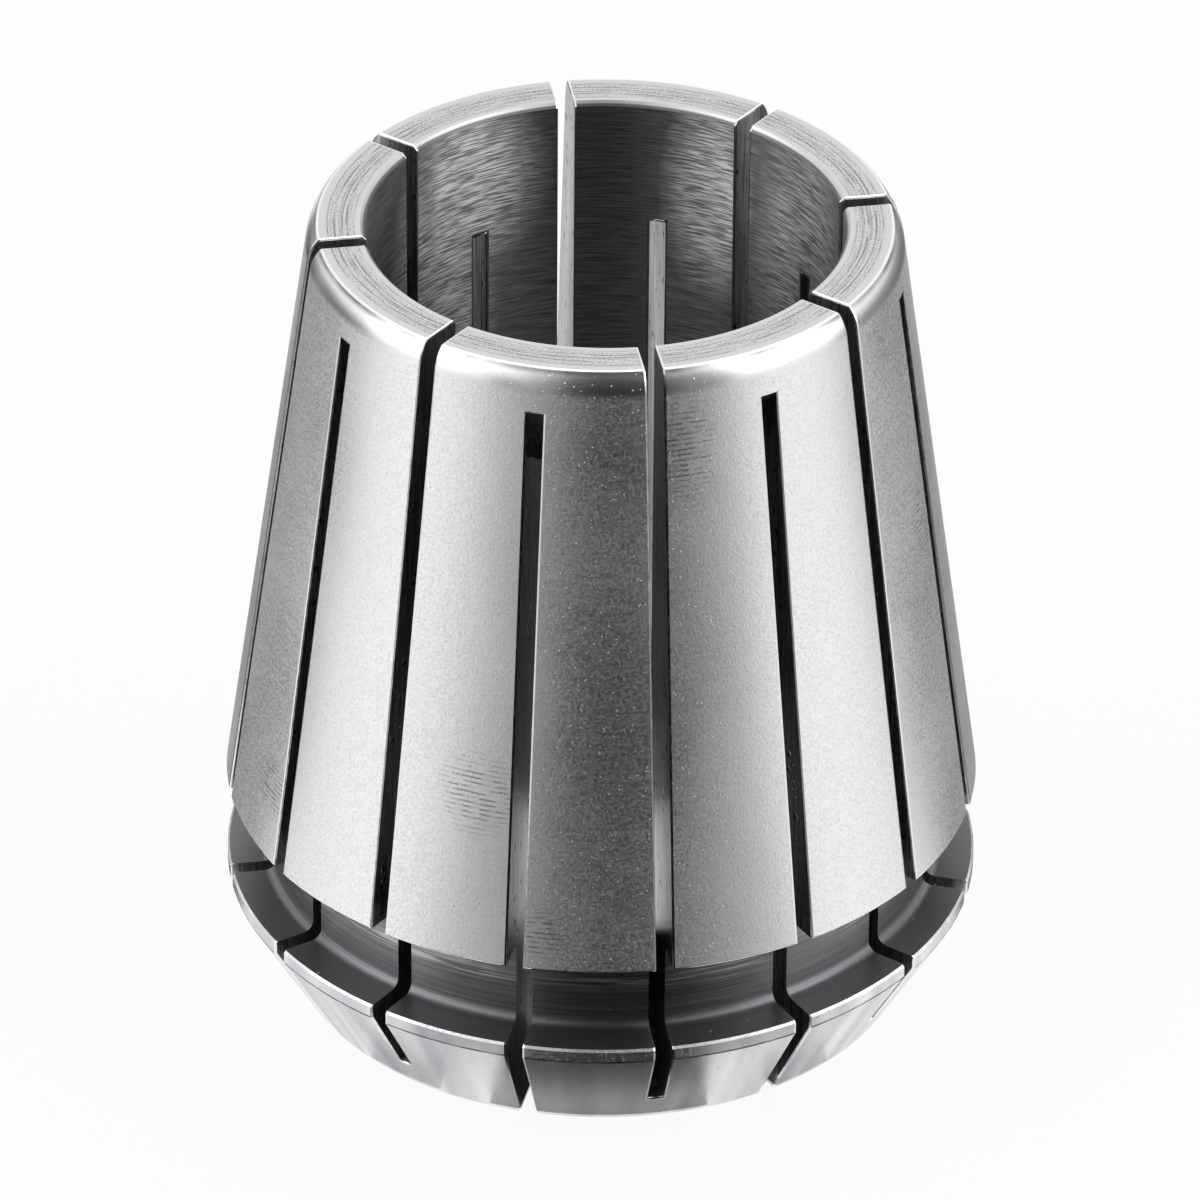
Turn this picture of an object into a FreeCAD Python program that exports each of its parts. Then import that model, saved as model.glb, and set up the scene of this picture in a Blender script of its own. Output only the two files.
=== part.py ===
import FreeCAD, Part
import math
import os
import Sketcher

# Spring collet for round shanks, size 40 with an 8 degree taper, in millimetres.
# One piece of spring steel: turned, sawn into sixteen springy segments, hardened and ground.
# The origin is the centre of the front face, and +Z runs along the axis to the narrow rear end.

# Driving dimensions: alias in the sheet, value, meaning.
SIZES = [
    ("overall_length", 46.0, "front face to rear face"),
    ("major_diameter", 41.0, "big end of the ground taper, and the land round the flange"),
    ("bore_diameter", 25.4, "clamping bore, unsprung"),
    ("bore_chamfer", 0.25, "chamfer at both mouths of the bore"),
    ("taper_angle", 8.0, "ground taper, each side of the axis"),
    ("taper_start", 11.85, "front face to the big end of the taper"),
    ("rear_break", 0.45, "what the rounding takes off the rear face, on the radius"),
    ("rear_round", 2.0, "radius that leads the taper into the rear face"),
    ("groove_width", 5.0, "nut groove, flange to taper"),
    ("groove_depth", 2.4, "nut groove, on the radius"),
    ("groove_corner", 0.6, "corner radius at the floor of the nut groove"),
    ("land_height", 0.78, "land round the flange, groove to nose taper"),
    ("land_chamfer", 0.12, "broken edge between the land and the groove"),
    ("nose_angle", 30.0, "nose taper, each side of the axis"),
    ("slit_width", 0.88, "saw cut"),
    ("slits_per_end", 8, "saw cuts that are open at each end"),
    ("saw_radius", 31.5, "slitting saw"),
    ("saw_overrun", 3.7, "how far the saw reaches into the bore"),
    ("rear_slit_stop", 23.95, "front face to the saw's centre, slits open at the rear"),
    ("front_slit_stop", 22.2, "rear face to the saw's centre, slits open at the front"),
    ("cut_margin", 2.0, "how far a cut's outline runs past the metal"),
]

# Radii and heights that follow from them: alias in the sheet, formula.
PLACES = [
    ("bore_radius", "=bore_diameter / 2"),
    ("major_radius", "=major_diameter / 2"),
    ("floor_radius", "=major_radius - groove_depth"),
    ("flange_height", "=taper_start - groove_width"),
    ("nose_top", "=flange_height - land_height"),
    ("front_radius", "=major_radius - nose_top * tan(nose_angle * 1 deg)"),
    ("taper_height", "=overall_length - taper_start"),
    ("rear_radius", "=major_radius - taper_height * tan(taper_angle * 1 deg) - rear_break"),
    ("saw_reach", "=bore_radius - saw_overrun"),
    ("cut_radius", "=major_radius + cut_margin"),
    ("rear_saw_height", "=rear_slit_stop"),
    ("front_saw_height", "=overall_length - front_slit_stop"),
    ("rear_mouth", "=overall_length + cut_margin"),
    ("front_mouth", "=-cut_margin"),
    ("half_pitch", "=180 / slits_per_end"),
]

document = FreeCAD.newDocument("spring_collet")


def add_sheet():
    """Put the sizes and places into the document's spreadsheet, and read them all back."""
    sheet = document.addObject("Spreadsheet::Sheet", "sizes")
    rows = [(alias, str(value), meaning) for alias, value, meaning in SIZES]
    rows += [(alias, formula, "") for alias, formula in PLACES]
    for row, (alias, content, meaning) in enumerate(rows, start=1):
        sheet.set(f"A{row}", alias)
        sheet.set(f"B{row}", content)
        sheet.set(f"C{row}", meaning)
        sheet.setAlias(f"B{row}", alias)
    document.recompute()
    return {alias: float(sheet.get(alias)) for alias, _, _ in rows}


def origin_feature(body, role):
    """Return the body's own origin plane or axis with this role."""
    return next(item for item in body.Origin.OriginFeatures if item.Role == role)


def add_sketch(body, name, turn=0.0, turn_expression=None):
    """Add a sketch on the body's XZ plane, turned about the collet's axis if asked."""
    sketch = body.newObject("Sketcher::SketchObject", name)
    sketch.AttachmentSupport = [(origin_feature(body, "XZ_Plane"), "")]
    sketch.MapMode = "FlatFace"
    if turn_expression:
        about_the_axis = FreeCAD.Rotation(FreeCAD.Vector(0, 1, 0), turn)
        sketch.AttachmentOffset = FreeCAD.Placement(FreeCAD.Vector(), about_the_axis)
        sketch.setExpression(".AttachmentOffset.Rotation.Angle", turn_expression)
    return sketch


def point(radius, height):
    """A point in the half-section: radius from the axis, height above the front face."""
    return FreeCAD.Vector(radius, height, 0)


def name_constraint(sketch, name, constraint, expression):
    """Add a dimension to a sketch and tie it to the sheet."""
    index = sketch.addConstraint(constraint)
    sketch.renameConstraint(index, name)
    sketch.setExpression(f"Constraints.{name}", expression)


# Sketch positions: which end of a line or arc, and the sketch's own axes.
START, END, CENTRE = range(1, 4)
HORIZONTAL_AXIS, VERTICAL_AXIS = range(-1, -3, -1)


def from_axis(sketch, name, geometry, end, size, place):
    """Hold a point of the outline at a radius from the axis."""
    constraint = Sketcher.Constraint("DistanceX", HORIZONTAL_AXIS, START, geometry, end, size[place])
    name_constraint(sketch, name, constraint, f"sizes.{place}")


def from_front(sketch, name, geometry, end, size, place):
    """Hold a point of the outline at a height above the front face."""
    constraint = Sketcher.Constraint("DistanceY", HORIZONTAL_AXIS, START, geometry, end, size[place])
    name_constraint(sketch, name, constraint, f"sizes.{place}")


def draw_half_section(sketch, size):
    """Draw the turned outline: front face, nose, land, groove, taper, rear face, bore."""
    bore, floor, major = size["bore_radius"], size["floor_radius"], size["major_radius"]
    flange, taper_start, length = size["flange_height"], size["taper_start"], size["overall_length"]
    slope = math.radians(size["taper_angle"])
    rounding = size["rear_round"]

    # The rear arc leaves the taper at about its own radius below the rear face.
    blend_height = length - rounding
    blend = point(major - (blend_height - taper_start) * math.tan(slope), blend_height)
    arc_centre = blend - FreeCAD.Vector(math.cos(slope), math.sin(slope), 0) * rounding
    arc_circle = Part.Circle(arc_centre, FreeCAD.Vector(0, 0, 1), rounding)

    corners = [
        point(bore, 0),
        point(size["front_radius"], 0),
        point(major, size["nose_top"]),
        point(major, flange),
        point(floor, flange),
        point(floor, taper_start),
        point(major, taper_start),
        blend,
    ]
    lines = [Part.LineSegment(a, b) for a, b in zip(corners, corners[1:])]
    outline = list(sketch.addGeometry(lines))
    front_face, nose, land, flange_face, groove_floor, groove_wall, taper = outline
    rear_arc = sketch.addGeometry(Part.ArcOfCircle(arc_circle, slope, math.radians(50)))
    rear_edge, rear_mouth = point(size["rear_radius"], length), point(bore, length)
    rear_face = sketch.addGeometry(Part.LineSegment(rear_edge, rear_mouth))
    bore_wall = sketch.addGeometry(Part.LineSegment(rear_mouth, point(bore, 0)))

    joins = list(zip(outline, outline[1:]))
    joins += [(rear_arc, rear_face), (rear_face, bore_wall), (bore_wall, front_face)]
    for before, after in joins:
        sketch.addConstraint(Sketcher.Constraint("Coincident", before, END, after, START))
    sketch.addConstraint(Sketcher.Constraint("Tangent", taper, END, rear_arc, START))
    for flat in (front_face, flange_face, groove_wall, rear_face):
        sketch.addConstraint(Sketcher.Constraint("Horizontal", flat))
    for round_wall in (land, groove_floor, bore_wall):
        sketch.addConstraint(Sketcher.Constraint("Vertical", round_wall))
    sketch.addConstraint(Sketcher.Constraint("PointOnObject", front_face, START, HORIZONTAL_AXIS))

    from_axis(sketch, "bore", front_face, START, size, "bore_radius")
    from_axis(sketch, "front", front_face, END, size, "front_radius")
    from_axis(sketch, "land", land, START, size, "major_radius")
    from_axis(sketch, "floor", groove_floor, START, size, "floor_radius")
    from_axis(sketch, "taper", taper, START, size, "major_radius")
    from_axis(sketch, "rear", rear_face, START, size, "rear_radius")
    from_front(sketch, "nose_top", nose, END, size, "nose_top")
    from_front(sketch, "flange", land, END, size, "flange_height")
    from_front(sketch, "taper_start", taper, START, size, "taper_start")
    from_front(sketch, "length", rear_face, START, size, "overall_length")
    angle = Sketcher.Constraint("Angle", VERTICAL_AXIS, START, taper, START, slope)
    name_constraint(sketch, "slope", angle, "sizes.taper_angle * 1 deg")
    radius = Sketcher.Constraint("Radius", rear_arc, rounding)
    name_constraint(sketch, "rounding", radius, "sizes.rear_round")


# How closely an edge must lie to the radius and height that it is looked up by.
SAME_PLACE = 1e-4


def break_edges(body, kind, name, places, size_expression):
    """Fillet or chamfer the circular edges at these radii and heights."""
    base = body.Tip
    names = []
    for number, edge in enumerate(base.Shape.Edges, start=1):
        if not isinstance(edge.Curve, Part.Circle):
            continue
        place = (edge.Curve.Radius, edge.Curve.Center.z)
        if any(math.dist(place, wanted) < SAME_PLACE for wanted in places):
            names.append(f"Edge{number}")
    if len(names) != len(places):
        raise RuntimeError(f"{name}: found {len(names)} of {len(places)} edges")
    feature = body.newObject(f"PartDesign::{kind}", name)
    feature.Base = (base, names)
    feature.setExpression("Radius" if kind == "Fillet" else "Size", size_expression)
    document.recompute()


def draw_saw_cut(sketch, size, end):
    """Draw what one saw cut removes: a slot to one end face, closed by the saw's round rim."""
    reach, saw, outside = size["saw_reach"], size["saw_radius"], size["cut_radius"]
    stop, mouth = size[f"{end}_saw_height"], size[f"{end}_mouth"]
    swing = math.acos((reach + saw - outside) / saw)
    circle = Part.Circle(point(reach + saw, stop), FreeCAD.Vector(0, 0, 1), saw)
    if end == "rear":
        arc = Part.ArcOfCircle(circle, math.pi, math.pi + swing)
        inner, outer, outer_point = START, END, arc.EndPoint
    else:
        arc = Part.ArcOfCircle(circle, math.pi - swing, math.pi)
        inner, outer, outer_point = END, START, arc.StartPoint

    corners = [outer_point, point(outside, mouth), point(reach, mouth), point(reach, stop)]
    rim = sketch.addGeometry(arc)
    side, open_end, depth = sketch.addGeometry(
        [Part.LineSegment(a, b) for a, b in zip(corners, corners[1:])]
    )
    sketch.addConstraint(Sketcher.Constraint("Coincident", rim, outer, side, START))
    sketch.addConstraint(Sketcher.Constraint("Coincident", side, END, open_end, START))
    sketch.addConstraint(Sketcher.Constraint("Coincident", open_end, END, depth, START))
    sketch.addConstraint(Sketcher.Constraint("Tangent", depth, END, rim, inner))
    sketch.addConstraint(Sketcher.Constraint("Vertical", side))
    sketch.addConstraint(Sketcher.Constraint("Vertical", depth))
    sketch.addConstraint(Sketcher.Constraint("Horizontal", open_end))
    from_axis(sketch, "reach", depth, END, size, "saw_reach")
    from_axis(sketch, "outside", side, START, size, "cut_radius")
    from_front(sketch, "stop", rim, CENTRE, size, f"{end}_saw_height")
    from_front(sketch, "mouth", open_end, START, size, f"{end}_mouth")
    name_constraint(sketch, "saw", Sketcher.Constraint("Radius", rim, saw), "sizes.saw_radius")


def cut_slits(body, size, end, turn=0.0, turn_expression=None):
    """Saw one slit that is open at this end, and repeat it round the axis."""
    volume_before = body.Tip.Shape.Volume
    sketch = add_sketch(body, f"{end}_saw_cut", turn, turn_expression)
    draw_saw_cut(sketch, size, end)
    document.recompute()

    slit = body.newObject("PartDesign::Pocket", f"{end}_slit")
    slit.Profile = sketch
    slit.SideType = "Symmetric"
    slit.setExpression("Length", "sizes.slit_width")
    document.recompute()
    one_slit = volume_before - slit.Shape.Volume
    if one_slit <= 0:
        raise RuntimeError(f"the {end} slit removes nothing")

    ring = body.newObject("PartDesign::PolarPattern", f"{end}_slits")
    ring.Originals = [slit]
    ring.Axis = (origin_feature(body, "Z_Axis"), [""])
    ring.Angle = 360
    ring.setExpression("Occurrences", "sizes.slits_per_end")
    body.Tip = ring
    document.recompute()
    all_slits = volume_before - ring.Shape.Volume
    if abs(all_slits - one_slit * size["slits_per_end"]) > 0.01 * all_slits:
        raise RuntimeError(f"the {end} slits don't all cut")


def build_collet(size):
    """Turn the blank, break its edges, and saw both rings of slits."""
    body = document.addObject("PartDesign::Body", "collet")
    body.Label = "collet"
    body.Placement = FreeCAD.Placement()

    half_section = add_sketch(body, "half_section")
    draw_half_section(half_section, size)
    document.recompute()
    blank = body.newObject("PartDesign::Revolution", "turned_blank")
    blank.Profile = half_section
    blank.ReferenceAxis = (half_section, ["V_Axis"])
    blank.Angle = 360
    document.recompute()

    bore, floor, flange = size["bore_radius"], size["floor_radius"], size["flange_height"]
    groove_corners = [(floor, flange), (floor, size["taper_start"])]
    land_edge = [(size["major_radius"], flange)]
    bore_mouths = [(bore, 0), (bore, size["overall_length"])]
    break_edges(body, "Fillet", "groove_corners", groove_corners, "sizes.groove_corner")
    break_edges(body, "Chamfer", "land_edge", land_edge, "sizes.land_chamfer")
    break_edges(body, "Chamfer", "bore_mouths", bore_mouths, "sizes.bore_chamfer")

    cut_slits(body, size, "rear")
    cut_slits(body, size, "front", size["half_pitch"], "sizes.half_pitch")
    return body


def check(part):
    """Stop if any feature failed or the solid isn't one sound piece."""
    for item in document.Objects:
        if {"Invalid", "Error"} & set(item.State):
            raise RuntimeError(f"{item.Name} failed: {item.State}")
    shape = part.Shape
    if shape.isNull() or not shape.isValid() or len(shape.Solids) != 1:
        raise RuntimeError(f"{part.Label} isn't one valid solid")


collet = build_collet(add_sheet())
check(collet)

os.makedirs("parts", exist_ok=True)
collet.Shape.exportStep(f"parts/{collet.Label}.step")
print(f"{collet.Label}: {collet.Shape.Volume:.1f} mm3 in {len(collet.Shape.Faces)} faces")
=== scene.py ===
import math

import bmesh
import bpy
from mathutils import Matrix, Vector


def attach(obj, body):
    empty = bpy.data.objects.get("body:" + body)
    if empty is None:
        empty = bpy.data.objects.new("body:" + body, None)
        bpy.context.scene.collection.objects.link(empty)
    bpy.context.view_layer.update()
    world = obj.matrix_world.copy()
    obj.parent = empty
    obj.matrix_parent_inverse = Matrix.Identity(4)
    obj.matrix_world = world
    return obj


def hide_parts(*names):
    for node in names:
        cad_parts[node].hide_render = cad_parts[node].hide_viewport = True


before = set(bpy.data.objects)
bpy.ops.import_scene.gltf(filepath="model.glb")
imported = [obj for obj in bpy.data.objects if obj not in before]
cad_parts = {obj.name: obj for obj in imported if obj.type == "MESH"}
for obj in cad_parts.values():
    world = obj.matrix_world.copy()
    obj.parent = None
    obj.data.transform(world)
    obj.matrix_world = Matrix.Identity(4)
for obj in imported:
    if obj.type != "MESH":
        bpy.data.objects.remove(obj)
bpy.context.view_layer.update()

# Camera: it looks down at the narrow end from in front, a little to the left of one rear slit.
# The place, aim and lens come from fitting the collet's circles and slits to the photograph.
CAMERA_AZIMUTH = math.radians(-9.69)
CAMERA_ASIDE = -0.000134
CAMERA_DISTANCE = 0.44503
CAMERA_HEIGHT = 0.30689
CAMERA_PITCH = math.radians(-32.603)
CAMERA_ROLL = math.radians(0.419)
CAMERA_LENS = 292.68

bpy.ops.object.select_all(action="DESELECT")
bpy.ops.object.camera_add()
camera = bpy.context.object
camera.name = "camera"
camera.data.sensor_width = 36.0
camera.data.lens = CAMERA_LENS
camera.data.clip_start = 0.01
camera.data.clip_end = 10.0
camera.matrix_world = (
    Matrix.Rotation(CAMERA_AZIMUTH, 4, "Z")
    @ Matrix.Translation((CAMERA_ASIDE, -CAMERA_DISTANCE, CAMERA_HEIGHT))
    @ Matrix.Rotation(math.radians(90) + CAMERA_PITCH, 4, "X")
    @ Matrix.Rotation(CAMERA_ROLL, 4, "Z")
)
bpy.context.scene.camera = camera
bpy.context.scene.view_settings.view_transform = "Standard"


def linear(hex_colour):
    """An sRGB hex colour as linear RGBA."""
    parts = [int(hex_colour[i:i + 2], 16) / 255 for i in (0, 2, 4)]
    return [c / 12.92 if c <= 0.04045 else ((c + 0.055) / 1.055) ** 2.4 for c in parts] + [1.0]


def add_node(tree, kind, settings=None, **links):
    """Add a shader node with its settings.

    An input goes by its name, or by its number as in _0, and takes a value, a node or a socket.
    """
    node = tree.nodes.new(kind)
    for name, value in (settings or {}).items():
        setattr(node, name, value)
    for name, value in links.items():
        socket = node.inputs[int(name[1:]) if name[1:].isdigit() else name.replace("_", " ")]
        if isinstance(value, bpy.types.Node):
            value = value.outputs[0]
        if isinstance(value, bpy.types.NodeSocket):
            tree.links.new(value, socket)
        else:
            socket.default_value = value
    return node


# Floor and background: a plain pale sheet under soft light, white to the camera and in reflections.
# FLOOR_WHITE of what it shows is plain white, and the rest is lit, so the collet's soft shadow stays.
FLOOR_WHITE = 0.92


def seen_rays(tree):
    """1 for rays of the camera, in reflections and through glass, and 0 for those that light."""
    rays = add_node(tree, "ShaderNodeLightPath")
    seen = add_node(tree, "ShaderNodeMath", {"operation": "MAXIMUM"}, _0=rays.outputs["Is Camera Ray"],
                    _1=rays.outputs["Is Glossy Ray"])
    return add_node(tree, "ShaderNodeMath", {"operation": "MAXIMUM"}, _0=seen,
                    _1=rays.outputs["Is Transmission Ray"])


bpy.ops.mesh.primitive_plane_add(size=3.0, location=(0, 0, 0))
floor = bpy.context.object
floor.name = "floor"

paper = bpy.data.materials.new("white_paper_matt")
paper.use_nodes = True
tree = paper.node_tree
tree.nodes.clear()
share = add_node(tree, "ShaderNodeMath", {"operation": "MULTIPLY"}, _0=seen_rays(tree),
                 _1=FLOOR_WHITE)
matt = add_node(tree, "ShaderNodeBsdfDiffuse", Color=linear("f4f4f4"))
white = add_node(tree, "ShaderNodeEmission", Color=linear("ffffff"), Strength=1.0)
mixed = add_node(tree, "ShaderNodeMixShader", _0=share, _1=matt, _2=white)
add_node(tree, "ShaderNodeOutputMaterial", Surface=mixed)
floor.data.materials.append(paper)

# Room: even white light from all round. It is full white where it is seen, and AMBIENT as light.
AMBIENT = 0.45
world = bpy.data.worlds.new("studio")
bpy.context.scene.world = world
world.use_nodes = True
tree = world.node_tree
tree.nodes.clear()
level = add_node(tree, "ShaderNodeMapRange", Value=seen_rays(tree), To_Min=AMBIENT, To_Max=1.0)
sky = add_node(tree, "ShaderNodeBackground", Color=linear("ffffff"), Strength=level)
add_node(tree, "ShaderNodeOutputWorld", Surface=sky)

# Lamps: a soft box at each side and a wide one overhead, each no brighter than it has to be.
# They look at the middle of the collet.
COLLET_MIDDLE = Vector((0, 0, 0.023))


def add_softbox(name, azimuth, elevation, distance, width, height, radiance):
    """Add an area lamp that looks at the collet, with its angles in degrees.

    Azimuth 0 is where the camera stands.
    """
    turn = CAMERA_AZIMUTH + math.radians(azimuth)
    rise = math.radians(elevation)
    away = Vector((math.sin(turn) * math.cos(rise), -math.cos(turn) * math.cos(rise), math.sin(rise)))
    bpy.ops.object.light_add(type="AREA", location=COLLET_MIDDLE + away * distance)
    lamp = bpy.context.object
    lamp.name = name
    lamp.data.shape = "RECTANGLE"
    lamp.data.size = width
    lamp.data.size_y = height
    lamp.data.energy = radiance * math.pi * width * height
    lamp.rotation_mode = "QUATERNION"
    lamp.rotation_quaternion = away.to_track_quat("Z", "Y")
    lamp.visible_camera = False


add_softbox("softbox_left", -72, 30, 0.6, 0.45, 0.55, 1.35)
add_softbox("softbox_right", 72, 30, 0.6, 0.45, 0.55, 1.35)
add_softbox("softbox_top", 170, 70, 0.7, 0.6, 0.6, 1.0)

# Cards: grey paper laid just over the floor, some of it bent up at its far edge. Those inside the bore
# and round the foot are painted shadow: they stand for the floor's own shade there, for the steel to
# mirror. The rest stand for the photographer and the room, so the steel has something dark to mirror.
# Only reflections show them.
CARD_SECTORS = 180  # of 2 degrees
CARD_SLACK = 0.1  # degrees, for rounding
CARD_HEIGHT = 0.0003


def add_card(name, first, last, near, far, wall, grey):
    """Add a card from azimuth first to last, in even degrees, and from radius near to far.

    Azimuth 0 is where the camera stands, and wall is the height of the wall at the far edge.
    """
    bpy.ops.object.select_all(action="DESELECT")
    bpy.ops.mesh.primitive_circle_add(vertices=CARD_SECTORS, radius=near, location=(0, 0, CARD_HEIGHT),
                                      rotation=(0, 0, CAMERA_AZIMUTH))
    card = bpy.context.object
    card.name = name
    bpy.ops.object.mode_set(mode="EDIT")
    mesh = bmesh.from_edit_mesh(card.data)
    for vertex in mesh.verts:
        azimuth = math.degrees(math.atan2(vertex.co.x, -vertex.co.y))
        past_first = (azimuth - first + CARD_SLACK) % 360
        vertex.select = past_first > last - first + 2 * CARD_SLACK
    mesh.select_flush_mode()
    bmesh.update_edit_mesh(card.data)
    bpy.ops.mesh.delete(type="VERT")
    bpy.ops.mesh.select_all(action="SELECT")
    bpy.ops.mesh.extrude_region_move()
    bpy.ops.transform.resize(value=(far / near, far / near, 1), center_override=(0, 0, 0))
    bpy.ops.mesh.extrude_region_move(TRANSFORM_OT_translate={"value": (0, 0, wall)})
    bpy.ops.object.mode_set(mode="OBJECT")
    card.visible_camera = False
    card.visible_shadow = False
    card.visible_diffuse = False
    paint = bpy.data.materials.new(name + "_paper")
    paint.use_nodes = True
    paint.node_tree.nodes.clear()
    flat = add_node(paint.node_tree, "ShaderNodeBsdfDiffuse", Color=linear(grey))
    add_node(paint.node_tree, "ShaderNodeOutputMaterial", Surface=flat)
    card.data.materials.append(paint)


# Painted shadow: the floor's shade, darker and lighter, inside the bore and then under the nose, as the
# steel mirrors it.
add_card("card_bore_front_left", -90, -4, 0.001, 0.0165, 0, "8a8a8a")
add_card("card_bore_front_right", -2, 90, 0.001, 0.0165, 0, "dcdcdc")
add_card("card_foot", -20, 20, 0.0165, 0.0192, 0, "e4e4e4")
add_card("card_foot_left", -46, -30, 0.0165, 0.0192, 0, "fafafa")
add_card("card_foot_right", 32, 46, 0.0165, 0.0192, 0, "fafafa")
add_card("card_foot_far", -18, 20, 0.0192, 0.028, 0, "3c3c3c")
# In front, at the sides and behind.
add_card("card_front", -18, 26, 0.028, 0.6, 2.0, "161616")
add_card("card_front_left", -26, -20, 0.028, 0.6, 0.6, "5c5c5c")
add_card("card_front_left_far", -40, -28, 0.028, 0.6, 0.2, "8c8c8c")
add_card("card_front_right", 26, 46, 0.028, 0.6, 0.6, "888888")
add_card("card_side_left", -90, -42, 0.1, 0.6, 0, "f0f0f0")
add_card("card_side_right", 48, 92, 0.1, 0.6, 0, "f0f0f0")
add_card("card_back_left", -126, -92, 0.021, 0.6, 0.05, "5c5c5c")
add_card("card_back_left_far", -152, -128, 0.021, 0.6, 0.05, "3c3c3c")
add_card("card_back_right", 92, 130, 0.021, 0.6, 0.05, "7a7a7a")
add_card("card_back_right_far", 130, 156, 0.021, 0.6, 0.05, "606060")

# Collet: one piece of hardened spring steel, turned as a tapered ring, ground outside, and
# sawn eight times from each end. These are its sizes in millimetres, as in the frame.
LENGTH = 46.0
MAJOR_RADIUS = 20.5
BORE_RADIUS = 12.7
BORE_CHAMFER = 0.25
TAPER = math.radians(8)
TAPER_START = 11.85
FLANGE_HEIGHT = 6.85
FLOOR_RADIUS = 18.1
GROOVE_CORNER = 0.6
LAND_HEIGHT = 0.78
LAND_CHAMFER = 0.12
NOSE_TAPER = math.radians(30)
NOSE_TOP = FLANGE_HEIGHT - LAND_HEIGHT
FRONT_RADIUS = MAJOR_RADIUS - NOSE_TOP * math.tan(NOSE_TAPER)
REAR_BREAK = 0.45
REAR_ROUND = 2.0
REAR_RADIUS = MAJOR_RADIUS - (LENGTH - TAPER_START) * math.tan(TAPER) - REAR_BREAK

# Finishes: it is all one steel, and each surface shows the last tool that went over it.
# Patterns read Object coordinates, in metres, so a scale of 1000 is one cell to the millimetre.
MICRON = 0.000001


def start_finish(name):
    """Start a bare material, with the places that its patterns read."""
    material = bpy.data.materials.new(name)
    material.use_nodes = True
    tree = material.node_tree
    tree.nodes.clear()
    return material, tree, add_node(tree, "ShaderNodeTexCoord").outputs["Object"]


def end_finish(tree, grain, **looks):
    """Make it steel; grain stretches its reflections across the tool marks round the axis."""
    quarter_turn = 0.25
    around = add_node(tree, "ShaderNodeTangent", {"direction_type": "RADIAL", "axis": "Z"})
    steel = add_node(tree, "ShaderNodeBsdfPrincipled", Metallic=1.0, Anisotropic=grain,
                     Anisotropic_Rotation=quarter_turn, Tangent=around, **looks)
    add_node(tree, "ShaderNodeOutputMaterial", Surface=steel)


def marks(tree, places, around, along, low, high, detail=3.0):
    """Tool marks drawn out round the axis, 0 to 1: cells per metre round it and along it."""
    drawn = add_node(tree, "ShaderNodeVectorMath", {"operation": "MULTIPLY"}, _0=places,
                     _1=(around, around, along))
    noise = add_node(tree, "ShaderNodeTexNoise", Vector=drawn, Scale=1.0, Detail=detail)
    return add_node(tree, "ShaderNodeMapRange", Value=noise, From_Min=low, From_Max=high)


def specks(tree, places, per_metre, size, share):
    """Small round specks, 0 to 1: cells per metre, a speck's radius in cells, cells that have one."""
    cells = add_node(tree, "ShaderNodeTexVoronoi", Vector=places, Scale=per_metre)
    dome = add_node(tree, "ShaderNodeMapRange", {"interpolation_type": "SMOOTHSTEP"},
                    Value=cells.outputs["Distance"], From_Max=size, To_Min=1.0, To_Max=0.0)
    kept = add_node(tree, "ShaderNodeMath", {"operation": "LESS_THAN"}, _0=cells.outputs["Color"],
                    _1=share)
    return add_node(tree, "ShaderNodeMath", {"operation": "MULTIPLY"}, _0=dome, _1=kept)


def patches(tree, places, spots):
    """Where a mark is found, 0 to 1, fading outside a spot's core.

    Each spot is its angle from +X in degrees, and its radius, height and two reaches in millimetres.
    """
    core = 0.45
    found = 0.0
    for turn, radius, height, wide, tall in spots:
        turn = math.radians(turn)
        centre = (radius * math.cos(turn) / wide, radius * math.sin(turn) / wide, height / tall)
        off = add_node(tree, "ShaderNodeVectorMath", {"operation": "MULTIPLY_ADD"}, _0=places,
                       _1=(1000 / wide, 1000 / wide, 1000 / tall), _2=[-c for c in centre])
        away = add_node(tree, "ShaderNodeVectorMath", {"operation": "LENGTH"}, _0=off)
        near = add_node(tree, "ShaderNodeMapRange", Value=away.outputs["Value"], From_Min=core,
                        From_Max=1.0, To_Min=1.0, To_Max=0.0)
        found = add_node(tree, "ShaderNodeMath", {"operation": "MAXIMUM"}, _0=near, _1=found)
    return found


# Ground outside: satin, with hair-fine marks round the axis and small dents.
# The real grit leaves 0.02 mm marks. They are drawn at 0.15 mm, and the hairs at 0.11 mm, to show.
ground, tree, places = start_finish("spring_steel_ground")
hair = marks(tree, places, 250, 9000, 0.3, 0.7)
cloud = marks(tree, places, 120, 90, 0.25, 0.75, 2.0)
grit = marks(tree, places, 6700, 6700, 0.28, 0.72, 2.0)
worn = add_node(tree, "ShaderNodeMath", {"operation": "MULTIPLY"}, _0=hair, _1=0.1)
worn = add_node(tree, "ShaderNodeMath", {"operation": "MULTIPLY_ADD"}, _0=cloud, _1=0.3, _2=worn)
worn = add_node(tree, "ShaderNodeMath", {"operation": "MULTIPLY_ADD"}, _0=grit, _1=0.6, _2=worn)
rough = add_node(tree, "ShaderNodeMapRange", Value=worn, To_Min=0.3, To_Max=0.7)

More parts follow.
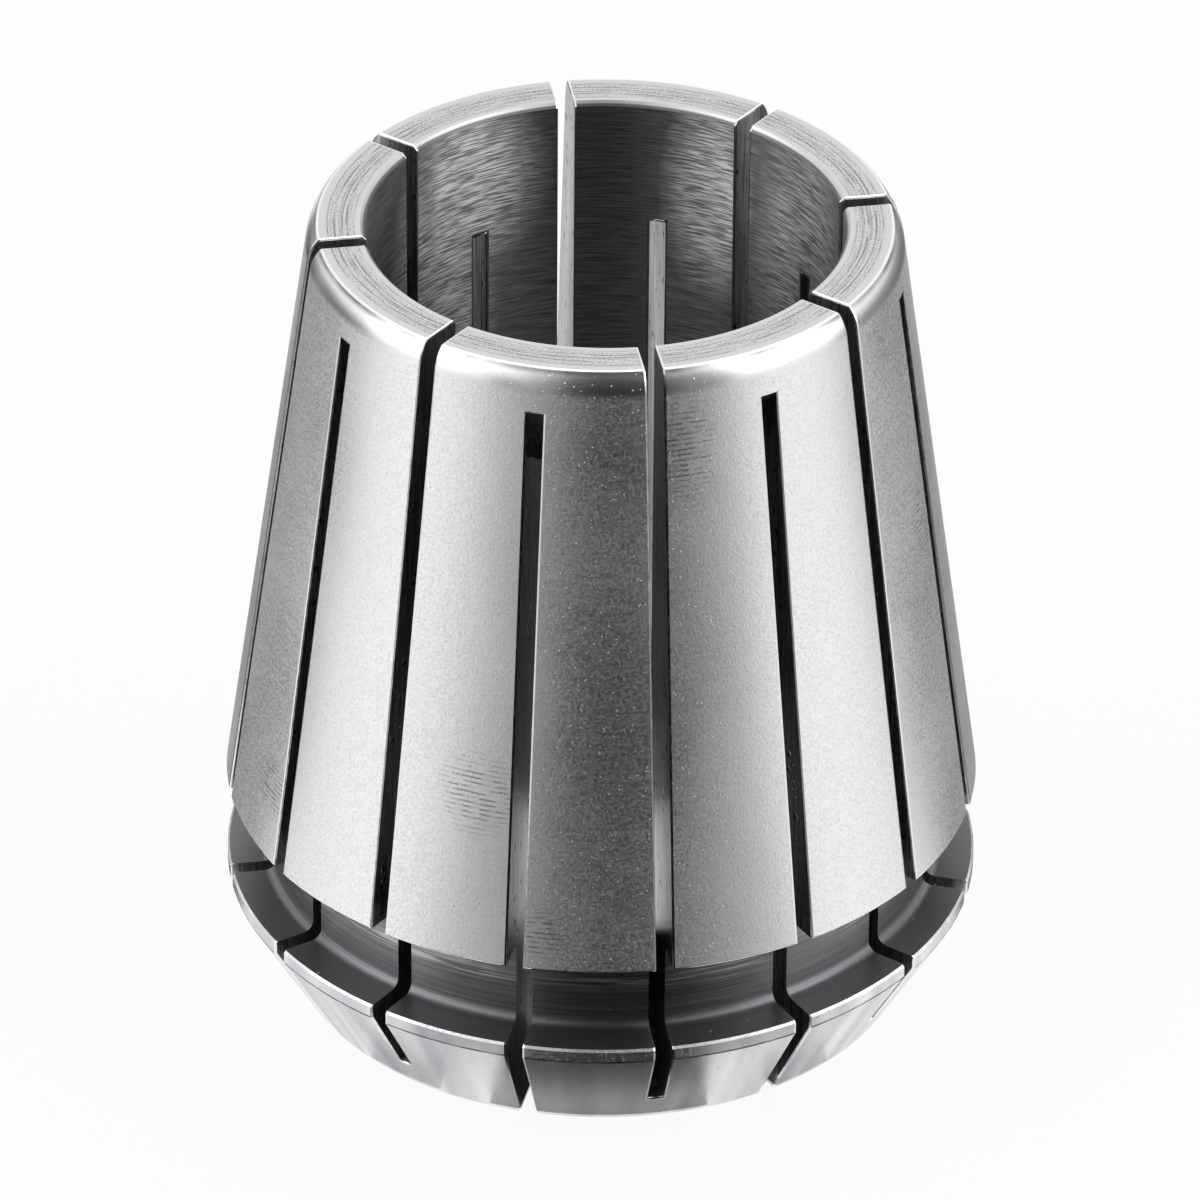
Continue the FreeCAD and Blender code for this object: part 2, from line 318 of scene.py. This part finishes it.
# The rounding under the rear face was buffed, so it mirrors the room more sharply.
BUFFED_START = LENGTH - 1.4
BUFFED_FULL = LENGTH - 1.0
high = add_node(tree, "ShaderNodeSeparateXYZ", Vector=places).outputs["Z"]
unbuffed = add_node(tree, "ShaderNodeMapRange", Value=high, From_Min=BUFFED_START / 1000,
                    From_Max=BUFFED_FULL / 1000, To_Min=1.0, To_Max=0.15)
rough = add_node(tree, "ShaderNodeMix", {"data_type": "FLOAT"}, _0=unbuffed, _2=0.28, _3=rough)
grit_left = add_node(tree, "ShaderNodeMath", {"operation": "MULTIPLY"}, _0=unbuffed, _1=grit)
dents = specks(tree, places, 5200, 0.26, 0.3)
bumps = add_node(tree, "ShaderNodeBump", Height=hair, Strength=1.0, Distance=0.6 * MICRON)
bumps = add_node(tree, "ShaderNodeBump", Height=grit_left, Strength=1.0, Distance=4.2 * MICRON,
                 Normal=bumps)
bumps = add_node(tree, "ShaderNodeBump", Height=dents, Strength=1.0, Distance=18 * MICRON,
                 Normal=bumps)

# Chatter of the grinding wheel beside a few slits: rows of short dull dashes, 0.29 mm apart.
# Each place is its angle from +X in degrees, and its height and two reaches in millimetres.
CHATTER_ROWS = 0.00029
WAVE_PERIOD = math.tau / 20
CHATTER = [(-119.6, 21.6, 2.7, 2.9), (-108.4, 13.9, 1.5, 1.9), (-84.4, 41.6, 1.9, 3.8),
           (-26.8, 31.0, 1.8, 2.8), (18.2, 17.5, 1.8, 2.2), (71.5, 38.0, 1.7, 3.0),
           (107.6, 20.0, 2.0, 2.4), (162, 34.0, 1.8, 2.8), (-162, 16.0, 1.8, 2.0)]
found = patches(tree, places, [
    (turn, MAJOR_RADIUS - (height - TAPER_START) * math.tan(TAPER), height, wide, tall)
    for turn, height, wide, tall in CHATTER])
rows = add_node(tree, "ShaderNodeTexWave", {"bands_direction": "Z"}, Vector=places,
                Scale=WAVE_PERIOD / CHATTER_ROWS, Distortion=1.2)
rows = add_node(tree, "ShaderNodeMapRange", Value=rows.outputs["Fac"], From_Min=0.6, From_Max=0.9)
dashes = add_node(tree, "ShaderNodeMath", {"operation": "MULTIPLY"}, _0=rows,
                  _1=marks(tree, places, 1500, 3000, 0.4, 0.56, 2.0))
dashes = add_node(tree, "ShaderNodeMath", {"operation": "MULTIPLY"}, _0=dashes, _1=found)
dashes = add_node(tree, "ShaderNodeMath", {"operation": "MULTIPLY"}, _0=dashes, _1=0.6)

# A fine dark line is painted round just under the rear face: a painted reflection of the dark that the
# rounding mirrors there.
LINE_START = LENGTH - 0.3
LINE_FULL = LENGTH - 0.12
line = add_node(tree, "ShaderNodeMapRange", Value=high, From_Min=LINE_START / 1000,
                From_Max=LINE_FULL / 1000, To_Max=0.75)
line = add_node(tree, "ShaderNodeMath", {"operation": "MULTIPLY"}, _0=line,
                _1=marks(tree, places, 300, 300, 0.2, 0.6))
chatter_and_painted_line = add_node(tree, "ShaderNodeMath", {"operation": "MAXIMUM"}, _0=dashes, _1=line)
grained = add_node(tree, "ShaderNodeMix", {"data_type": "RGBA"}, _0=grit_left, _6=linear("f2f2f4"),
                   _7=linear("dcdcde"))
colour = add_node(tree, "ShaderNodeMix", {"data_type": "RGBA"}, _0=chatter_and_painted_line, _6=grained.outputs[2],
                  _7=linear("3c3c3e"))
end_finish(tree, 0.6, Base_Color=colour.outputs[2], Roughness=rough, Normal=bumps)


# Turned rear and front faces: fine dark rings about 0.13 mm apart, broken here and there, and a
# plain band along each edge, where the burr was brushed off. The bore's chamfer is darker, but for a
# thin lighter edge at the face.
def band(tree, value, centre, full, gone):
    """1 where a value is within full of its centre, fading to 0 at gone."""
    off = add_node(tree, "ShaderNodeMath", {"operation": "SUBTRACT"}, _0=value, _1=centre)
    off = add_node(tree, "ShaderNodeMath", {"operation": "ABSOLUTE"}, _0=off)
    return add_node(tree, "ShaderNodeMapRange", Value=off, From_Min=full, From_Max=gone, To_Min=1.0,
                    To_Max=0.0)


def faced_ring(name, inner, outer):
    """A turned face with its rings between two radii in millimetres."""
    material, tree, places = start_finish(name)
    apart = add_node(tree, "ShaderNodeSeparateXYZ", Vector=places)
    flat = add_node(tree, "ShaderNodeVectorMath", {"operation": "MULTIPLY"}, _0=places, _1=(1, 1, 0))
    radius = add_node(tree, "ShaderNodeVectorMath", {"operation": "LENGTH"}, _0=flat).outputs["Value"]
    rings = add_node(tree, "ShaderNodeTexNoise", {"noise_dimensions": "1D"}, W=radius, Scale=7500,
                     Detail=1.0)
    rings = add_node(tree, "ShaderNodeMapRange", Value=rings, From_Min=0.56, From_Max=0.4)
    ringed = add_node(tree, "ShaderNodeCombineXYZ", X=apart.outputs[0], Y=apart.outputs[1], Z=radius)
    rings = add_node(tree, "ShaderNodeMath", {"operation": "MULTIPLY"}, _0=rings,
                     _1=marks(tree, ringed, 520, 9000, 0.36, 0.56, 2.0))
    rings = add_node(tree, "ShaderNodeMath", {"operation": "MULTIPLY_ADD"}, _0=rings, _1=0.8,
                     _2=marks(tree, places, 9500, 9500, 0.55, 0.75, 1.0))
    half_width = (outer - inner) / 2000
    fade = 0.00015
    inside = band(tree, radius, (inner + outer) / 2000, half_width - fade, half_width)
    rings = add_node(tree, "ShaderNodeMath", {"operation": "MULTIPLY"}, _0=rings, _1=inside)
    half_length = LENGTH / 2000
    lip_full, lip_start = 0.00016, 0.0001
    lip = band(tree, apart.outputs[2], half_length, half_length - lip_full, half_length - lip_start)
    rings = add_node(tree, "ShaderNodeMath", {"operation": "MAXIMUM"}, _0=rings, _1=lip)
    colour = add_node(tree, "ShaderNodeMix", {"data_type": "RGBA"}, _0=rings, _6=linear("cacacc"),
                      _7=linear("6e6e70"))
    bumps = add_node(tree, "ShaderNodeBump", Height=rings, Strength=1.0, Distance=-2 * MICRON)
    end_finish(tree, 0.0, Base_Color=colour.outputs[2], Roughness=0.36, Normal=bumps)
    return material


INNER_BAND = 0.5
OUTER_BAND = 0.4
faced = faced_ring("spring_steel_faced_rear", BORE_RADIUS + INNER_BAND, REAR_RADIUS - OUTER_BAND)
faced_front = faced_ring("spring_steel_faced_front", BORE_RADIUS + INNER_BAND,
                         FRONT_RADIUS - OUTER_BAND)

# Honed bore: its colour is painted darker than the outside, as painted shade deep in the bore, with fine
# lines 0.06 mm apart round the axis. Four patches are painted bright, as painted highlights where the
# lamps glint, and their lines sparkle.
honed, tree, places = start_finish("spring_steel_honed")
faint = marks(tree, places, 500, 15000, 0.3, 0.7, 2.0)
streaks = marks(tree, places, 800, 17000, 0.45, 0.58, 1.0)
# Painted highlights: four patches where the lamps glint on the bore.
painted_glints = patches(tree, places, [(115, BORE_RADIUS, 42, 5.0, 6.0), (127, BORE_RADIUS, 35, 4.5, 12),
                                (54, BORE_RADIUS, 41, 3.0, 7.0), (20, BORE_RADIUS, 38, 5.0, 12)])
bright = add_node(tree, "ShaderNodeMapRange", Value=streaks, To_Min=0.12, To_Max=0.9)
bright = add_node(tree, "ShaderNodeMath", {"operation": "MULTIPLY"}, _0=bright, _1=painted_glints)
bright = add_node(tree, "ShaderNodeMath", {"operation": "MULTIPLY_ADD"}, _0=faint, _1=0.24, _2=bright)
colour = add_node(tree, "ShaderNodeMix", {"data_type": "RGBA"}, _0=bright, _6=linear("565658"),
                  _7=linear("f2f2f4"))
bumps = add_node(tree, "ShaderNodeBump", Height=faint, Strength=1.0, Distance=3 * MICRON)
bumps = add_node(tree, "ShaderNodeBump", Height=streaks, Strength=1.0, Distance=3 * MICRON, Normal=bumps)
end_finish(tree, 0.9, Base_Color=colour.outputs[2], Roughness=0.5, Normal=bumps)

# Sawn slit walls: the saw leaves fine lines down the slit and small torn pits, nearly black.
sawn, tree, places = start_finish("spring_steel_sawn")
torn = marks(tree, places, 6000, 250, 0.3, 0.7, 2.0)
pits = add_node(tree, "ShaderNodeMath", {"operation": "MAXIMUM"},
                _0=specks(tree, places, 1400, 0.4, 0.34), _1=specks(tree, places, 3400, 0.36, 0.2))
sound = add_node(tree, "ShaderNodeMix", {"data_type": "RGBA"}, _0=torn, _6=linear("8c8c8e"),
                 _7=linear("d6d6d8"))
colour = add_node(tree, "ShaderNodeMix", {"data_type": "RGBA"}, _0=pits, _6=sound.outputs[2],
                  _7=linear("161618"))
bumps = add_node(tree, "ShaderNodeBump", Height=torn, Strength=1.0, Distance=2 * MICRON)
bumps = add_node(tree, "ShaderNodeBump", Height=pits, Strength=1.0, Distance=-30 * MICRON, Normal=bumps)
end_finish(tree, 0.0, Base_Color=colour.outputs[2], Roughness=0.28, Normal=bumps)

# Closed ends of the slits: painted near black, as painted shade deep in the narrow slits.
painted_shade_slit_end, tree, places = start_finish("spring_steel_slit_end")
mottle = marks(tree, places, 2500, 2500, 0.4, 0.7)
colour = add_node(tree, "ShaderNodeMix", {"data_type": "RGBA"}, _0=mottle, _6=linear("2e2e30"),
                  _7=linear("5c5c5e"))
bumps = add_node(tree, "ShaderNodeBump", Height=mottle, Strength=1.0, Distance=10 * MICRON)
end_finish(tree, 0.0, Base_Color=colour.outputs[2], Roughness=0.45, Normal=bumps)

# Turned nut groove: fine lathe marks, in a colour painted dark as painted shade under the taper's rim,
# with a few pale chips: small dents whose pale colour is a painted glint.
# The nut's ring has scraped a pale broken belt round the floor as it snapped in, and painted shade
# darkens the floor further towards the flange's own face, which is the darkest.
SCRAPED_HEIGHT = 9.75
SCRAPED_CORE = 0.3
SCRAPED_REACH = 0.9
DARK_TO = FLANGE_HEIGHT + 0.05
LIT_FROM = FLANGE_HEIGHT + 0.55
turned, tree, places = start_finish("spring_steel_turned")
furrows = marks(tree, places, 90, 12000, 0.36, 0.68, 3.0)
high = add_node(tree, "ShaderNodeSeparateXYZ", Vector=places).outputs["Z"]
# Painted shade: the colour darkens towards the flange's face.
painted_shade_towards_flange = add_node(tree, "ShaderNodeMapRange", Value=high, From_Min=DARK_TO / 1000,
                 From_Max=LIT_FROM / 1000, To_Min=0.12, To_Max=0.22)
furrowed = add_node(tree, "ShaderNodeMath", {"operation": "MULTIPLY"}, _0=furrows, _1=painted_shade_towards_flange)
belt = band(tree, high, SCRAPED_HEIGHT / 1000, SCRAPED_CORE / 1000, SCRAPED_REACH / 1000)
scrapes = add_node(tree, "ShaderNodeMath", {"operation": "MULTIPLY"}, _0=belt,
                   _1=marks(tree, places, 260, 15000, 0.48, 0.62, 2.0))
scrapes = add_node(tree, "ShaderNodeMath", {"operation": "MULTIPLY"}, _0=scrapes,
                   _1=marks(tree, places, 130, 130, 0.38, 0.56, 1.0))
dents_and_glints = specks(tree, places, 1500, 0.2, 0.16)
pale = add_node(tree, "ShaderNodeMath", {"operation": "MAXIMUM"}, _0=furrowed, _1=scrapes)
pale = add_node(tree, "ShaderNodeMath", {"operation": "MAXIMUM"}, _0=pale, _1=dents_and_glints)
colour = add_node(tree, "ShaderNodeMix", {"data_type": "RGBA"}, _0=pale, _6=linear("727275"),
                  _7=linear("dcdcdf"))
bumps = add_node(tree, "ShaderNodeBump", Height=furrows, Strength=1.0, Distance=0.4 * MICRON)
bumps = add_node(tree, "ShaderNodeBump", Height=dents_and_glints, Strength=1.0, Distance=30 * MICRON, Normal=bumps)
rough = add_node(tree, "ShaderNodeMapRange", Value=scrapes, To_Min=0.42, To_Max=0.65)
end_finish(tree, 0.5, Base_Color=colour.outputs[2], Roughness=rough, Normal=bumps)

# Nose and land: ground like the taper, with its grit drawn at 0.1 mm, then rubbed by the nut's seat
# in soft upright bands. A fine dark line runs round under the land, where the two cuts meet.
BANDS_PER_RADIAN = 13
BANDS_PER_METRE_UP = 90
CUT_LINE_CORE = 0.03
CUT_LINE_REACH = 0.09
seated, tree, places = start_finish("spring_steel_nose")
flat = add_node(tree, "ShaderNodeVectorMath", {"operation": "MULTIPLY"}, _0=places, _1=(1, 1, 0))
round_axis = add_node(tree, "ShaderNodeVectorMath", {"operation": "NORMALIZE"}, _0=flat)
round_axis = add_node(tree, "ShaderNodeVectorMath", {"operation": "MULTIPLY"}, _0=round_axis,
                      _1=(BANDS_PER_RADIAN,) * 3)
round_axis = add_node(tree, "ShaderNodeVectorMath", {"operation": "MULTIPLY_ADD"}, _0=places,
                      _1=(0, 0, BANDS_PER_METRE_UP), _2=round_axis)
bands = marks(tree, round_axis, 1, 1, 0.25, 0.7, 1.0)
grit = marks(tree, places, 9500, 9500, 0.48, 0.66, 1.0)
rough = add_node(tree, "ShaderNodeMapRange", Value=grit, To_Min=0.36, To_Max=0.6)
high = add_node(tree, "ShaderNodeSeparateXYZ", Vector=places).outputs["Z"]
line = band(tree, high, NOSE_TOP / 1000, CUT_LINE_CORE / 1000, CUT_LINE_REACH / 1000)
line = add_node(tree, "ShaderNodeMath", {"operation": "MULTIPLY"}, _0=line,
                _1=marks(tree, places, 400, 400, 0.2, 0.5))
dents = specks(tree, places, 2900, 0.2, 0.2)
marred = add_node(tree, "ShaderNodeMath", {"operation": "MAXIMUM"}, _0=line, _1=dents)
colour = add_node(tree, "ShaderNodeMix", {"data_type": "RGBA"}, _0=bands, _6=linear("ccccd0"),
                  _7=linear("f0f0f2"))
darker = add_node(tree, "ShaderNodeMix", {"data_type": "RGBA"}, _0=marred, _6=colour.outputs[2],
                  _7=linear("5a5a5c"))
bumps = add_node(tree, "ShaderNodeBump", Height=grit, Strength=1.0, Distance=3 * MICRON)
bumps = add_node(tree, "ShaderNodeBump", Height=dents, Strength=1.0, Distance=-30 * MICRON, Normal=bumps)
end_finish(tree, 0.3, Base_Color=darker.outputs[2], Roughness=rough, Normal=bumps)

# Broken edges: brushed by hand, so they are bright and a little uneven.
eased, tree, places = start_finish("spring_steel_broken_edge")
uneven = marks(tree, places, 1800, 1800, 0.3, 0.7, 2.0)
rough = add_node(tree, "ShaderNodeMapRange", Value=uneven, To_Min=0.12, To_Max=0.26)
bumps = add_node(tree, "ShaderNodeBump", Height=uneven, Strength=1.0, Distance=2.5 * MICRON)
end_finish(tree, 0.0, Base_Color=linear("f2f2f3"), Roughness=rough, Normal=bumps)

# The blank is turned in millimetres, and made metres at the end.
FACETS = 128


def arc(centre, radius, start, end, steps):
    """Points of an arc in the half-section, angles in degrees from the radial direction."""
    angles = [math.radians(start + (end - start) * i / steps) for i in range(steps + 1)]
    return [(centre[0] + radius * math.cos(a), centre[1] + radius * math.sin(a)) for a in angles]


def rear_rounding():
    """The arc that leaves the taper tangentially and meets the rear face at its outer edge."""
    normal = Vector((math.cos(TAPER), math.sin(TAPER)))
    along = Vector((-math.sin(TAPER), math.cos(TAPER)))
    start = Vector((MAJOR_RADIUS, TAPER_START)) - normal * REAR_ROUND
    to_edge = Vector((REAR_RADIUS, LENGTH)) - start
    reach = math.sqrt(REAR_ROUND ** 2 - to_edge.dot(normal) ** 2)
    centre = start + along * (to_edge.dot(along) - reach)
    end = math.degrees(math.atan2(LENGTH - centre.y, REAR_RADIUS - centre.x))
    return arc(centre, REAR_ROUND, math.degrees(TAPER), end, 10)


# The half-section, run round from the front of the bore, with the finish of each stretch.
stretches = [
    ([(BORE_RADIUS, BORE_CHAMFER), (BORE_RADIUS + BORE_CHAMFER, 0), (FRONT_RADIUS, 0)],
     faced_front),
    ([(MAJOR_RADIUS, NOSE_TOP), (MAJOR_RADIUS, FLANGE_HEIGHT - LAND_CHAMFER),
      (MAJOR_RADIUS - LAND_CHAMFER, FLANGE_HEIGHT)], seated),
    (arc((FLOOR_RADIUS + GROOVE_CORNER, FLANGE_HEIGHT + GROOVE_CORNER), GROOVE_CORNER, 270, 180, 6)
     + arc((FLOOR_RADIUS + GROOVE_CORNER, TAPER_START - GROOVE_CORNER), GROOVE_CORNER, 180, 90, 6)
     + [(MAJOR_RADIUS, TAPER_START)], turned),
    (rear_rounding(), ground),
    ([(BORE_RADIUS + BORE_CHAMFER, LENGTH), (BORE_RADIUS, LENGTH - BORE_CHAMFER)], faced),
    ([(BORE_RADIUS, BORE_CHAMFER)], honed),
]
outline = []
lays = []
for points, lay in stretches:
    outline += points
    lays += [lay] * len(points)

# A stretch has the finish of the point that ends it, and the last point is the first one again.
lays = lays[1:]
outline = outline[:-1]
stretch_ends = list(zip(outline, outline[1:] + outline[:1]))

bpy.ops.object.select_all(action="DESELECT")
bpy.ops.mesh.primitive_circle_add(vertices=FACETS, radius=outline[0][0],
                                  location=(0, 0, outline[0][1]))
collet = bpy.context.object
collet.name = "collet_ground"
bpy.ops.object.transform_apply(location=True)
finishes = [ground, faced, faced_front, honed, sawn, painted_shade_slit_end, turned, seated, eased]
for material in finishes:
    collet.data.materials.append(material)
bpy.ops.object.mode_set(mode="EDIT")
bpy.ops.mesh.select_all(action="SELECT")
for here, there in stretch_ends:
    grow = there[0] / here[0]
    bpy.ops.mesh.extrude_region_move(TRANSFORM_OT_translate={"value": (0, 0, there[1] - here[1])})
    bpy.ops.transform.resize(value=(grow, grow, 1), center_override=(0, 0, 0))
bpy.ops.mesh.select_all(action="SELECT")
bpy.ops.mesh.remove_doubles(threshold=0.001)
bpy.ops.mesh.normals_make_consistent(inside=False)
bpy.ops.object.mode_set(mode="OBJECT")

# The true normal of each stretch, for smooth shading: an arc's points share theirs, and those of a
# corner sharper than this don't.
SHARP = math.radians(24)


def section_normal(here, there):
    """The outward normal of a straight stretch of the half-section."""
    run = Vector(there) - Vector(here)
    return Vector((run.y, -run.x)).normalized()


flats = [section_normal(here, there) for here, there in stretch_ends]
spans = [(Vector(there) - Vector(here)).length for here, there in stretch_ends]


def shared_normal(before, after):
    """The normal where two stretches meet, the longer one's if they differ, or None at a corner."""
    if flats[before].dot(flats[after]) < math.cos(SHARP):
        return None
    if spans[before] > 2 * spans[after]:
        return flats[before]
    if spans[after] > 2 * spans[before]:
        return flats[after]
    return (flats[before] + flats[after]).normalized()


def place_on(stretch, radius, height):
    """How far along a stretch the nearest point lies, 0 to 1, and how far off it is."""
    here, there = map(Vector, stretch_ends[stretch])
    run = there - here
    point = Vector((radius, height))
    part = min(max((point - here).dot(run) / run.length_squared, 0), 1)
    return part, (here + run * part - point).length


def nearest_stretch(point):
    """The stretch of the half-section that a point of the blank lies on."""
    radius = math.hypot(point.x, point.y)
    return min(range(len(outline)), key=lambda stretch: place_on(stretch, radius, point.z)[1])


def turned_normal(stretch, point):
    """The true normal of a stretch at a point, and how far off the point is."""
    out = Vector((point.x, point.y, 0))
    part, away = place_on(stretch, out.length, point.z)
    first = shared_normal(stretch - 1, stretch) or flats[stretch]
    last = shared_normal(stretch, (stretch + 1) % len(outline)) or flats[stretch]
    normal = first.lerp(last, part)
    return (out.normalized() * normal.x + Vector((0, 0, normal.y))).normalized(), away


for polygon in collet.data.polygons:
    polygon.material_index = finishes.index(lays[nearest_stretch(polygon.center)])

# Saw cuts: a round saw 0.88 mm thick comes in from each end and stops inside, so every slit
# ends in an arc that slopes through the wall. A stop is the height where the saw's centre halts.
SLIT_WIDTH = 0.88
SLITS_PER_END = 8
SAW_RADIUS = 31.5
SAW_OVERRUN = 3.7
SAW_CENTRE = BORE_RADIUS - SAW_OVERRUN + SAW_RADIUS
REAR_SLIT_STOP = 23.95
FRONT_SLIT_STOP = LENGTH - 22.2
PAST_THE_END = 30.0


def add_saws(name, stop, travel, first_turn):
    """Add one saw's whole path, eight times round the axis, as one cutting mesh."""
    bpy.ops.object.select_all(action="DESELECT")
    bpy.ops.mesh.primitive_cylinder_add(vertices=360, radius=SAW_RADIUS, depth=SLIT_WIDTH,
                                        location=(SAW_CENTRE, 0, stop), rotation=(math.pi / 2, 0, 0))
    saws = bpy.context.object
    saws.name = name
    bpy.ops.object.transform_apply(location=True, rotation=True)
    for material in finishes:
        saws.data.materials.append(material)
    for polygon in saws.data.polygons:
        side = abs(polygon.normal.y) > 0.5
        polygon.material_index = finishes.index(sawn if side else painted_shade_slit_end)
    bpy.ops.object.mode_set(mode="EDIT")
    bpy.ops.mesh.select_all(action="DESELECT")
    bpy.ops.object.mode_set(mode="OBJECT")
    for vertex in saws.data.vertices:
        vertex.select = (vertex.co.z - stop) * travel > 0.01
    bpy.ops.object.mode_set(mode="EDIT")
    bpy.ops.transform.translate(value=(0, 0, travel))
    bpy.ops.object.mode_set(mode="OBJECT")
    copies = [saws]
    for k in range(1, SLITS_PER_END):
        copy = saws.copy()
        copy.data = saws.data.copy()
        copy.rotation_euler.z = first_turn + k * math.tau / SLITS_PER_END
        bpy.context.collection.objects.link(copy)
        copies.append(copy)
    saws.rotation_euler.z = first_turn
    for copy in copies:
        copy.select_set(True)
    bpy.ops.object.join()
    bpy.ops.object.transform_apply(location=True, rotation=True)
    return saws


half_pitch = math.pi / SLITS_PER_END
for saws in (
    add_saws("rear_saws", REAR_SLIT_STOP, LENGTH + PAST_THE_END, 0.0),
    add_saws("front_saws", FRONT_SLIT_STOP, -LENGTH - PAST_THE_END, half_pitch),
):
    bpy.ops.object.select_all(action="DESELECT")
    bpy.context.view_layer.objects.active = collet
    collet.select_set(True)
    cut = collet.modifiers.new("saw_cut", "BOOLEAN")
    cut.operation = "DIFFERENCE"
    cut.solver = "EXACT"
    cut.object = saws
    bpy.ops.object.modifier_apply(modifier=cut.name)
    bpy.data.objects.remove(saws)

# Broken edges: the steel's edges were brushed after sawing, to a rounding about 0.16 mm wide, but
# not the turned chamfers, nor the edges down in the nut groove.
EDGE_BREAK = 0.16
BRUSH_REACH = 0.06  # how far it gets into the groove from the rim
CLOSE = 0.001


def is_brushed(edge):
    """Whether the brush reached an edge."""
    first, last = [vertex.co for vertex in edge.verts]
    middle = (first + last) / 2
    radius = math.hypot(middle.x, middle.y)
    in_groove = FLANGE_HEIGHT - CLOSE < middle.z < TAPER_START + CLOSE
    if in_groove and radius < MAJOR_RADIUS - BRUSH_REACH:
        return False
    at_end = min(middle.z, LENGTH - middle.z) < BORE_CHAMFER + CLOSE
    turned_corner = ((at_end and radius < BORE_RADIUS + BORE_CHAMFER + CLOSE)
                     or abs(middle.z - NOSE_TOP) < CLOSE
                     or abs(middle.z - FLANGE_HEIGHT + LAND_CHAMFER) < CLOSE)
    return abs(first.z - last.z) > CLOSE or not turned_corner


bpy.ops.object.mode_set(mode="EDIT")
bpy.ops.mesh.select_mode(type="EDGE")
mesh = bmesh.from_edit_mesh(collet.data)
for edge in mesh.edges:
    edge.select = edge.is_manifold and edge.calc_face_angle_signed() > SHARP and is_brushed(edge)
bmesh.update_edit_mesh(collet.data)
bpy.ops.mesh.bevel(offset=EDGE_BREAK, offset_type="WIDTH", segments=2, profile=0.6,
                   affect="EDGES", clamp_overlap=False, material=finishes.index(eased))
bpy.ops.mesh.select_all(action="DESELECT")
bpy.ops.object.mode_set(mode="OBJECT")
bpy.ops.object.select_all(action="DESELECT")
collet.select_set(True)
bpy.context.view_layer.objects.active = collet
bpy.ops.object.shade_smooth()

# Shading follows the true turned surface. It stays flat on the sawn walls and on the two narrow
# faces of a broken slit edge, and turns smoothly across a broken edge that runs round the axis.
ON_TURNED_SURFACE = 0.009  # mm off the half-section
ACROSS_A_SLIT = 0.2  # sine of a face's turn from the outward direction
steel_mesh = collet.data
in_slit = [finishes.index(sawn), finishes.index(painted_shade_slit_end)]


def round_edge_normals(polygon):
    """The normals at the corners of one face of a broken edge that runs round the axis.

    A corner on the turned surface takes the true normal, and one on the rounding the mesh's own.
    """
    true = [turned_normal(nearest_stretch(place), place)
            for place in (steel_mesh.vertices[index].co for index in polygon.vertices)]
    return [normal if away < ON_TURNED_SURFACE else steel_mesh.vertices[index].normal.copy()
            for index, (normal, away) in zip(polygon.vertices, true)]


normals = []
for polygon in steel_mesh.polygons:
    out = Vector((polygon.center.x, polygon.center.y, 0)).normalized()
    broken = polygon.material_index == finishes.index(eased)
    slit_edge = broken and abs(out.cross(polygon.normal).z) > ACROSS_A_SLIT
    if slit_edge or polygon.material_index in in_slit:
        normals += [polygon.normal.copy()] * len(polygon.vertices)
    elif broken:
        normals += round_edge_normals(polygon)
    else:
        stretch = nearest_stretch(polygon.center)
        normals += [turned_normal(stretch, steel_mesh.vertices[index].co)[0]
                    for index in polygon.vertices]
steel_mesh.normals_split_custom_set(normals)
collet.scale = (0.001, 0.001, 0.001)
bpy.ops.object.transform_apply(scale=True)
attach(collet, "root")
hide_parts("collet")
